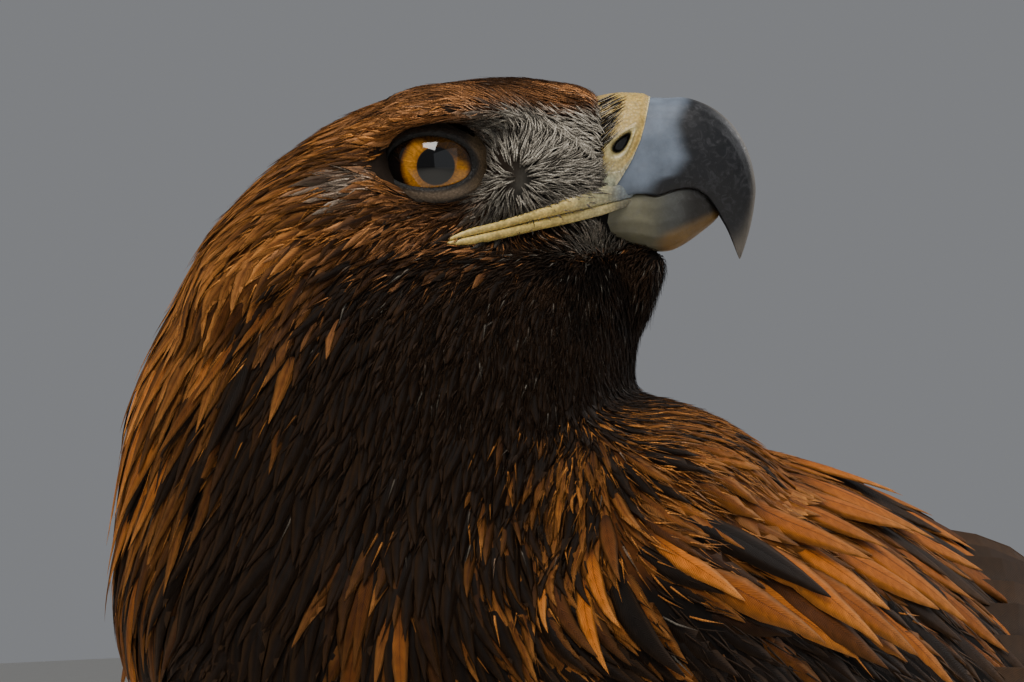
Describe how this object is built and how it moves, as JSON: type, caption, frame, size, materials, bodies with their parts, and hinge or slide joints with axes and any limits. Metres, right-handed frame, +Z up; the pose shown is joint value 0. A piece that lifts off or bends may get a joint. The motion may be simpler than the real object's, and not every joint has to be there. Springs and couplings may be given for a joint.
{
  "type": "golden eagle",
  "caption": "Life-size golden eagle standing on both feet, wings folded, head raised and turned back over its left shoulder.",
  "frame": {"origin": "centre of the bounding box in plan, on the floor under the soles", "axes": "-Y is where the standing body faces, +Y runs back to the tail's tip, +X is the bird's left, +Z is up"},
  "size_m": [0.2346, 0.6592, 0.5383],
  "materials": {
    "feather_brown": "dark brown feathers, matte",
    "hackle_gold": "golden rufous pointed feathers, matte",
    "horn": "blue-grey horn, satin",
    "skin_yellow": "yellow bare skin, satin",
    "eye": "wet amber eye, glossy",
    "claw": "black horn, satin"
  },
  "bodies": {
    "root": {"head": "feather_brown", "cere": "skin_yellow", "bill_upper": "horn", "bill_lower": "horn", "eye_right": "eye", "eye_left": "eye", "neck": "hackle_gold", "torso": "feather_brown", "tail": "feather_brown", "wing_left": "feather_brown", "wing_right": "feather_brown", "thigh_left": "feather_brown", "tarsus_left": "feather_brown", "foot_left": "skin_yellow", "claw_1_left": "claw", "claw_2_left": "claw", "claw_3_left": "claw", "claw_4_left": "claw", "thigh_right": "feather_brown", "tarsus_right": "feather_brown", "foot_right": "skin_yellow", "claw_1_right": "claw", "claw_2_right": "claw", "claw_3_right": "claw", "claw_4_right": "claw"}
  },
  "joints": []
}
